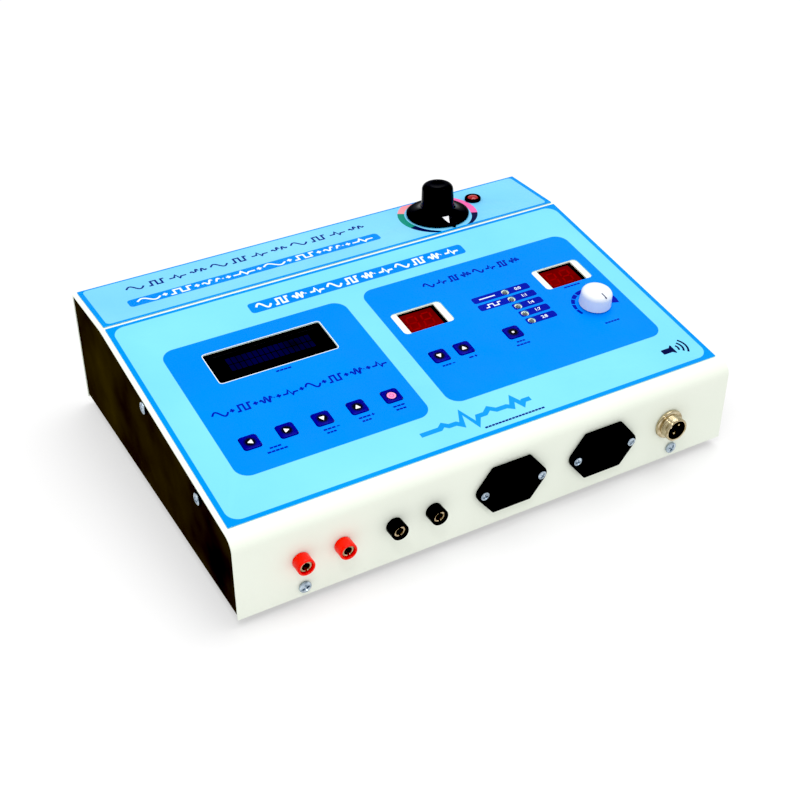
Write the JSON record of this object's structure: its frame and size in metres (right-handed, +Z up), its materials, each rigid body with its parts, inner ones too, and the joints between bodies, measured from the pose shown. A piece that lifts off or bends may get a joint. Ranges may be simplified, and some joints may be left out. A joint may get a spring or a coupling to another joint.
{
  "type": "combination electrotherapy and ultrasound therapy unit",
  "caption": "Low desk-top therapy unit with a sloping control panel, keys, two knobs, small displays and front output sockets.",
  "frame": {"origin": "centre of the footprint, on the plane that the rubber feet stand on", "axes": "+X to the user's right, +Y from the front wall to the rear wall, +Z up"},
  "size_m": [0.3434, 0.2594, 0.1106],
  "materials": {
    "white_paint": "satin white powder coat",
    "black_gloss_paint": "gloss black stoved enamel",
    "printed_film": "printed polyester film, light blue",
    "display_red": "dark red LED display face",
    "lcd_glass": "black bezel with dark blue glass",
    "clear_lens": "clear LED lens",
    "key_navy": "navy blue key cap with a printed white sign",
    "white_plastic": "white ABS",
    "black_plastic": "black moulded plastic, satin",
    "red_plastic": "signal red moulded plastic",
    "lamp_red": "translucent red lens in a dark bezel",
    "nickel": "nickel plated",
    "zinc": "zinc plated",
    "rubber": "black rubber",
    "green_board": "green solder mask",
    "steel_core": "laminated steel core"
  },
  "bodies": {
    "cabinet": {"main_overlay": "printed_film", "lcd_module": "lcd_glass", "time_display": "display_red", "dose_display": "display_red", "mode_led_1": "clear_lens", "mode_led_2": "clear_lens", "mode_led_3": "clear_lens", "mode_led_4": "clear_lens", "mode_led_5": "clear_lens", "display_board": "green_board", "dose_pot": "nickel", "band_overlay": "printed_film", "output_pot": "nickel", "pilot_lamp": "lamp_red", "jack_red_1": "red_plastic", "contact_red_1": "nickel", "jack_red_2": "red_plastic", "contact_red_2": "nickel", "jack_black_1": "black_plastic", "contact_black_1": "nickel", "jack_black_2": "black_plastic", "contact_black_2": "nickel", "outlet_left": "black_plastic", "outlet_left_screw_1": "zinc", "outlet_left_screw_2": "zinc", "outlet_right": "black_plastic", "outlet_right_screw_1": "zinc", "outlet_right_screw_2": "zinc", "probe_shell": "nickel", "probe_insert": "black_plastic", "front_screw_left": "zinc", "front_screw_right": "zinc", "power_inlet": "black_plastic", "power_switch_frame": "black_plastic", "side_screw_left_front": "zinc", "side_screw_left_rear": "zinc", "side_screw_right_front": "zinc", "side_screw_right_rear": "zinc", "cover": "white_paint", "base_tray": "black_gloss_paint", "foot_front_left": "rubber", "foot_front_right": "rubber", "foot_rear_left": "rubber", "foot_rear_right": "rubber", "main_board": "green_board", "transformer": "steel_core"},
    "key_left": {"key_left": "key_navy"},
    "key_right": {"key_right": "key_navy"},
    "key_down": {"key_down": "key_navy"},
    "key_up": {"key_up": "key_navy"},
    "key_start": {"key_start": "key_navy"},
    "key_time_down": {"key_time_down": "key_navy"},
    "key_time_up": {"key_time_up": "key_navy"},
    "key_mode": {"key_mode": "key_navy"},
    "dose_knob": {"dose_knob": "white_plastic", "dose_shaft": "nickel"},
    "output_knob": {"output_knob": "black_plastic", "output_shaft": "nickel"},
    "power_rocker": {"power_rocker": "red_plastic"},
    "fuse_drawer": {"fuse_drawer": "black_plastic"}
  },
  "joints": [
    {"name": "key_left_press", "type": "slide", "parent": "cabinet", "child": "key_left", "axis": [0, 0.1355, -0.9908], "range_m": [0, 0.0005], "stiffness_N_per_m": 2000, "springref_m": -0.0004},
    {"name": "key_right_press", "type": "slide", "parent": "cabinet", "child": "key_right", "axis": [0, 0.1355, -0.9908], "range_m": [0, 0.0005], "stiffness_N_per_m": 2000, "springref_m": -0.0004},
    {"name": "key_down_press", "type": "slide", "parent": "cabinet", "child": "key_down", "axis": [0, 0.1355, -0.9908], "range_m": [0, 0.0005], "stiffness_N_per_m": 2000, "springref_m": -0.0004},
    {"name": "key_up_press", "type": "slide", "parent": "cabinet", "child": "key_up", "axis": [0, 0.1355, -0.9908], "range_m": [0, 0.0005], "stiffness_N_per_m": 2000, "springref_m": -0.0004},
    {"name": "key_start_press", "type": "slide", "parent": "cabinet", "child": "key_start", "axis": [0, 0.1355, -0.9908], "range_m": [0, 0.0005], "stiffness_N_per_m": 2000, "springref_m": -0.0004},
    {"name": "key_time_down_press", "type": "slide", "parent": "cabinet", "child": "key_time_down", "axis": [0, 0.1355, -0.9908], "range_m": [0, 0.0005], "stiffness_N_per_m": 2000, "springref_m": -0.0004},
    {"name": "key_time_up_press", "type": "slide", "parent": "cabinet", "child": "key_time_up", "axis": [0, 0.1355, -0.9908], "range_m": [0, 0.0005], "stiffness_N_per_m": 2000, "springref_m": -0.0004},
    {"name": "key_mode_press", "type": "slide", "parent": "cabinet", "child": "key_mode", "axis": [0, 0.1355, -0.9908], "range_m": [0, 0.0005], "stiffness_N_per_m": 2000, "springref_m": -0.0004},
    {"name": "dose_knob_turn", "type": "hinge", "parent": "cabinet", "child": "dose_knob", "pos_m": [0.1272, -0.03482, 0.0742], "axis": [0, -0.1355, 0.9908], "range_deg": [-300, 0]},
    {"name": "output_knob_turn", "type": "hinge", "parent": "cabinet", "child": "output_knob", "pos_m": [0.088, 0.09954, 0.08803], "axis": [0, 0.0302, 0.9995], "range_deg": [-300, 0]},
    {"name": "power_rocker_tilt", "type": "hinge", "parent": "cabinet", "child": "power_rocker", "pos_m": [-0.06, 0.12643, 0.04], "axis": [1, 0, 0], "range_deg": [0, 16]},
    {"name": "fuse_drawer_pull", "type": "slide", "parent": "cabinet", "child": "fuse_drawer", "axis": [0, 1, 0], "range_m": [0, 0.012]}
  ]
}
